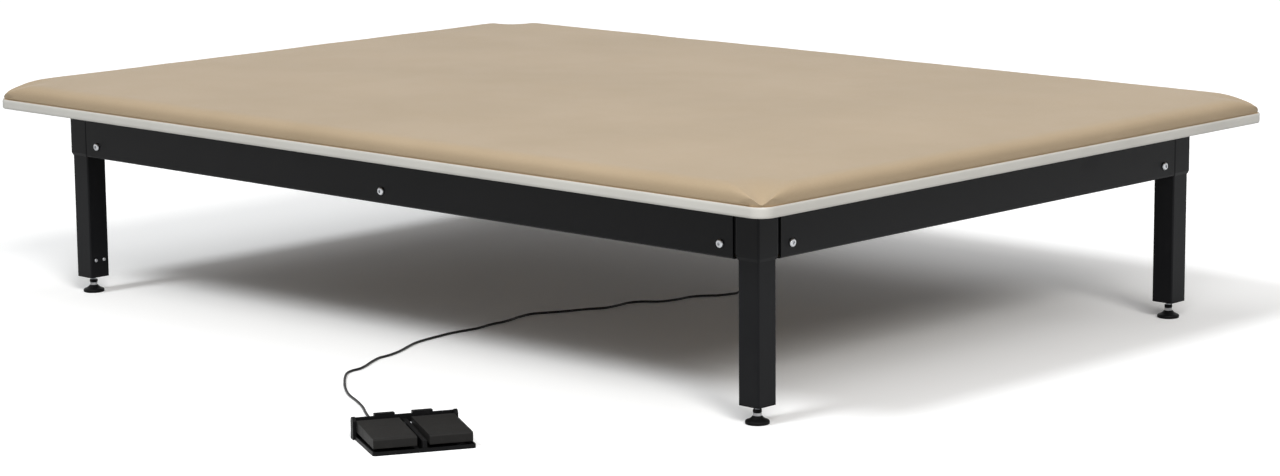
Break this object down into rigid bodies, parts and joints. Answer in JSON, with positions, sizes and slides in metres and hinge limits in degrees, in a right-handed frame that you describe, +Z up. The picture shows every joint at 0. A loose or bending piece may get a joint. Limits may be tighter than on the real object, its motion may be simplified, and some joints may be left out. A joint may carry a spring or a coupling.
{
  "type": "bobath table",
  "caption": "Low, wide padded treatment table on a black steel frame with telescoping legs, raised by a twin foot pedal that lies in front on a cord.",
  "frame": {"origin": "on the floor, in the middle of the rectangle that the table and its foot pedal cover, the loose cord left out", "axes": "+Z up; +X along the table's long side; the foot pedal lies on the -Y side; the leg nearest the camera in the picture is at +X, -Y"},
  "size_m": [2.134, 2, 0.4523],
  "materials": {
    "vinyl": "soft sheen, fine leather grain",
    "moulding": "satin",
    "plywood": "matte",
    "black_steel": "satin powder coat",
    "plated_steel": "satin zinc plate",
    "chrome_rod": "polished",
    "black_plastic": "matte",
    "pad_plastic": "matte, finely textured",
    "casting": "matte",
    "cord_jacket": "satin"
  },
  "bodies": {
    "stand": {"inner_leg_front_right": "plated_steel", "piston_rod_front_right": "chrome_rod", "pedal_base": "black_plastic", "pedal_hinge_rod": "plated_steel", "pedal_gland": "black_plastic", "pedal_cord": "cord_jacket"},
    "lower_leg_front_left": {"inner_leg_front_left": "plated_steel", "piston_rod_front_left": "chrome_rod"},
    "foot_front_left": {"levelling_foot_front_left": "black_plastic"},
    "foot_front_right": {"levelling_foot_front_right": "black_plastic"},
    "lower_leg_rear_right": {"inner_leg_rear_right": "plated_steel", "piston_rod_rear_right": "chrome_rod"},
    "foot_rear_right": {"levelling_foot_rear_right": "black_plastic"},
    "lower_leg_rear_left": {"inner_leg_rear_left": "plated_steel", "piston_rod_rear_left": "chrome_rod"},
    "foot_rear_left": {"levelling_foot_rear_left": "black_plastic"},
    "up_pad": {"pedal_up": "pad_plastic"},
    "down_pad": {"pedal_down": "pad_plastic"},
    "top_and_frame": {"cushion": "vinyl", "edge_moulding": "moulding", "top_panel": "plywood", "long_rail_front": "black_steel", "long_rail_rear": "black_steel", "short_rail_left": "black_steel", "short_rail_right": "black_steel", "centre_cross_member": "black_steel", "corner_tube_front_left": "black_steel", "corner_tube_front_right": "black_steel", "corner_tube_rear_right": "black_steel", "corner_tube_rear_left": "black_steel", "leg_front_left": "black_steel", "leg_front_right": "black_steel", "leg_rear_right": "black_steel", "leg_rear_left": "black_steel", "bolt_long_front_1": "plated_steel", "bolt_long_front_2": "plated_steel", "bolt_long_front_3": "plated_steel", "bolt_long_rear_1": "plated_steel", "bolt_long_rear_2": "plated_steel", "bolt_long_rear_3": "plated_steel", "bolt_short_right_1": "plated_steel", "bolt_short_right_2": "plated_steel", "bolt_short_left_1": "plated_steel", "bolt_short_left_2": "plated_steel", "lift_cylinder_front_left": "plated_steel", "lift_cylinder_front_right": "plated_steel", "lift_cylinder_rear_right": "plated_steel", "lift_cylinder_rear_left": "plated_steel", "pressure_line_front_left": "plated_steel", "pressure_line_front_right": "plated_steel", "pressure_line_rear_right": "plated_steel", "pressure_line_rear_left": "plated_steel", "glide_bush_front_left": "black_plastic", "glide_bush_front_right": "black_plastic", "glide_bush_rear_right": "black_plastic", "glide_bush_rear_left": "black_plastic", "control_box": "black_plastic", "control_box_gland": "black_plastic", "mains_inlet": "black_plastic", "power_unit": "casting"}
  },
  "joints": [
    {"name": "lift", "type": "slide", "parent": "stand", "child": "top_and_frame", "axis": [0, 0, 1], "range_m": [0, 0.203]},
    {"name": "telescope_front_left", "type": "slide", "parent": "top_and_frame", "child": "lower_leg_front_left", "axis": [0, 0, -1], "range_m": [0, 0.203]},
    {"name": "telescope_rear_right", "type": "slide", "parent": "top_and_frame", "child": "lower_leg_rear_right", "axis": [0, 0, -1], "range_m": [0, 0.203]},
    {"name": "telescope_rear_left", "type": "slide", "parent": "top_and_frame", "child": "lower_leg_rear_left", "axis": [0, 0, -1], "range_m": [0, 0.203]},
    {"name": "foot_turn_front_left", "type": "hinge", "parent": "lower_leg_front_left", "child": "foot_front_left", "pos_m": [-0.935, -0.388, 0.02], "axis": [0, 0, 1], "continuous": true},
    {"name": "foot_turn_front_right", "type": "hinge", "parent": "stand", "child": "foot_front_right", "pos_m": [0.935, -0.388, 0.02], "axis": [0, 0, 1], "continuous": true},
    {"name": "foot_turn_rear_right", "type": "hinge", "parent": "lower_leg_rear_right", "child": "foot_rear_right", "pos_m": [0.935, 0.864, 0.02], "axis": [0, 0, 1], "continuous": true},
    {"name": "foot_turn_rear_left", "type": "hinge", "parent": "lower_leg_rear_left", "child": "foot_rear_left", "pos_m": [-0.935, 0.864, 0.02], "axis": [0, 0, 1], "continuous": true},
    {"name": "press_up", "type": "hinge", "parent": "stand", "child": "up_pad", "pos_m": [0.51033, -0.90149, 0.021], "axis": [0.4772, 0.8788, 0], "range_deg": [0, 3], "stiffness_Nm_per_rad": 8, "springref_deg": -5.73},
    {"name": "press_down", "type": "hinge", "parent": "stand", "child": "down_pad", "pos_m": [0.55757, -0.81448, 0.021], "axis": [0.4772, 0.8788, 0], "range_deg": [0, 3], "stiffness_Nm_per_rad": 8, "springref_deg": -5.73}
  ],
  "couplings": [
    {"joint": "telescope_front_left", "follows": "lift", "ratio": 1},
    {"joint": "telescope_rear_right", "follows": "lift", "ratio": 1},
    {"joint": "telescope_rear_left", "follows": "lift", "ratio": 1}
  ]
}
